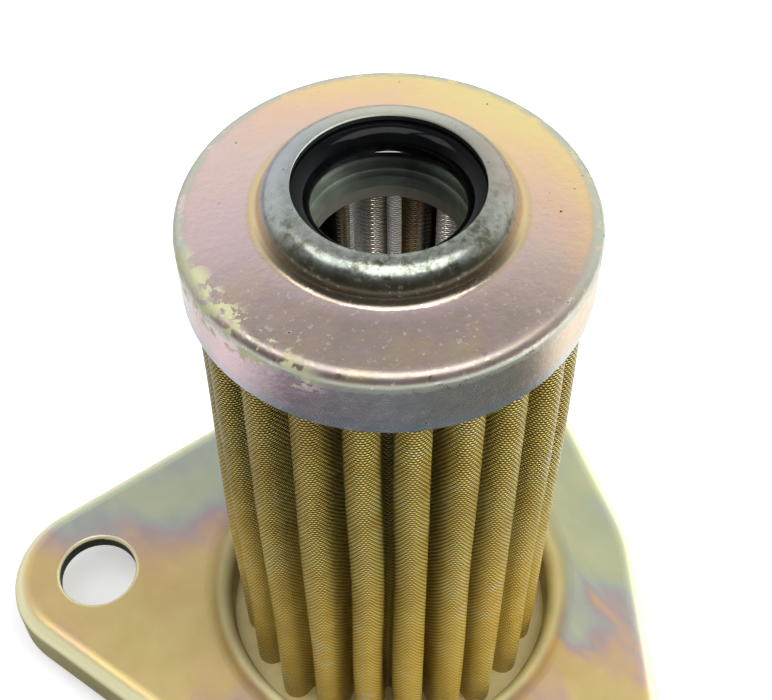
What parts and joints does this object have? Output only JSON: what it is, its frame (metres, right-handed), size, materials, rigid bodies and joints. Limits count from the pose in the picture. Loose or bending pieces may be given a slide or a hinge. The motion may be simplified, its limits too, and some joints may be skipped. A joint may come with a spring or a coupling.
{
  "type": "oil strainer",
  "caption": "Pleated brass wire-cloth strainer potted in a lobed steel mounting plate, with a steel end cap whose raised neck holds an O-ring.",
  "frame": {"origin": "centre of the pan's flat underside, on the cartridge's axis", "axes": "+Z along the cartridge from the mounting plate to the neck, -Y towards the lone bolt lobe, +X towards the right-hand lobe of the pair"},
  "size_m": [0.0926, 0.0934, 0.0916],
  "materials": {
    "plate_steel": "pressed steel, zinc plated with an olive-gold chromate film",
    "cap_steel": "pressed steel, zinc plated with a thin pinkish-yellow chromate film",
    "collar_steel": "pressed steel, dull grey zinc",
    "brass_cloth": "woven brass wire cloth, folded",
    "lining": "fine woven wire cloth, folded",
    "resin": "cast potting resin, cream-yellow, slightly glossy",
    "seal_rubber": "black moulded nitrile rubber, smooth"
  },
  "bodies": {
    "root": {"cover_plate": "plate_steel", "lower_potting": "resin", "filter_cloth": "brass_cloth", "lining_cloth": "lining", "upper_potting": "resin", "end_cap": "cap_steel", "seal_collar": "collar_steel", "o_ring": "seal_rubber"}
  },
  "joints": []
}
